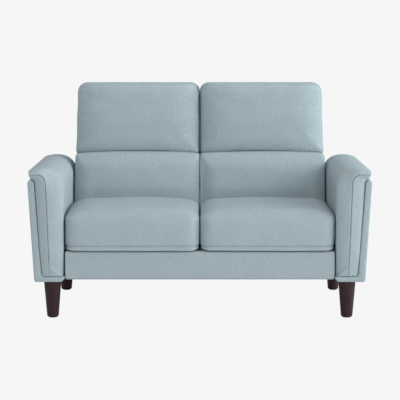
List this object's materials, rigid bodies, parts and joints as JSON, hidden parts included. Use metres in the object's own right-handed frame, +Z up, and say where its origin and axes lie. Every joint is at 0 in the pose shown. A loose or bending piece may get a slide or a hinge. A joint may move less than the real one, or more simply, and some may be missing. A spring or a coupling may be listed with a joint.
{
  "type": "high back settee",
  "caption": "High-back fabric loveseat with split backs, loose seat cushions, padded arms in outer shells and tapered wooden legs.",
  "frame": {"origin": "on the floor, under the centre of the settee's bounding box", "axes": "+X to the right as seen from the front, +Y from the front to the back, +Z up"},
  "size_m": [1.46, 0.86, 0.982],
  "materials": {
    "upholstery": "pale blue-grey heathered woven upholstery",
    "leg_wood": "dark espresso stained hardwood, satin lacquer",
    "timber": "planed softwood, unfinished",
    "plywood": "cut plywood, unfinished",
    "spring_wire": "bright drawn wire",
    "hardware": "zinc plated",
    "glide_nylon": "moulded nylon",
    "foam": "open-cell foam",
    "zip": "coil zip and tape, dyed to match",
    "webbing": "woven elastic webbing",
    "deck_felt": "needled felt",
    "dust_cloth": "spun-bonded cloth"
  },
  "bodies": {
    "settee": {"front_rail_board": "timber", "rear_rail_board": "timber", "side_rail_left": "timber", "side_rail_right": "timber", "centre_rail": "timber", "corner_blocks": "timber", "front_rail_cover": "upholstery", "seat_springs_left": "spring_wire", "seat_springs_right": "spring_wire", "spring_clips": "hardware", "seat_deck": "deck_felt", "dust_cover": "dust_cloth", "arm_shell_left": "upholstery", "arm_shell_right": "upholstery", "arm_pad_left": "upholstery", "arm_pad_right": "upholstery", "arm_frame_left": "plywood", "arm_frame_right": "plywood", "arm_bolts": "hardware", "leg_front_left": "leg_wood", "leg_front_right": "leg_wood", "leg_rear_left": "leg_wood", "leg_rear_right": "leg_wood", "leg_plates": "hardware", "leg_bolts": "hardware", "leg_glides": "glide_nylon", "back_frame_left": "plywood", "back_frame_right": "plywood", "back_bolts": "hardware", "back_cover_left": "upholstery", "back_cover_right": "upholstery", "back_webbing_left": "webbing", "back_webbing_right": "webbing", "lumbar_pad_left": "upholstery", "lumbar_pad_right": "upholstery", "headrest_pad_left": "upholstery", "headrest_pad_right": "upholstery"},
    "left_cushion": {"seat_cushion_left": "upholstery", "foam_core_left": "foam", "cushion_zip_left": "zip"},
    "right_cushion": {"seat_cushion_right": "upholstery", "foam_core_right": "foam", "cushion_zip_right": "zip"}
  },
  "joints": [
    {"name": "left_cushion_lift", "type": "slide", "parent": "settee", "child": "left_cushion", "axis": [0, -0.9397, 0.342], "range_m": [0, 0.6]},
    {"name": "right_cushion_lift", "type": "slide", "parent": "settee", "child": "right_cushion", "axis": [0, -0.9397, 0.342], "range_m": [0, 0.6]}
  ]
}
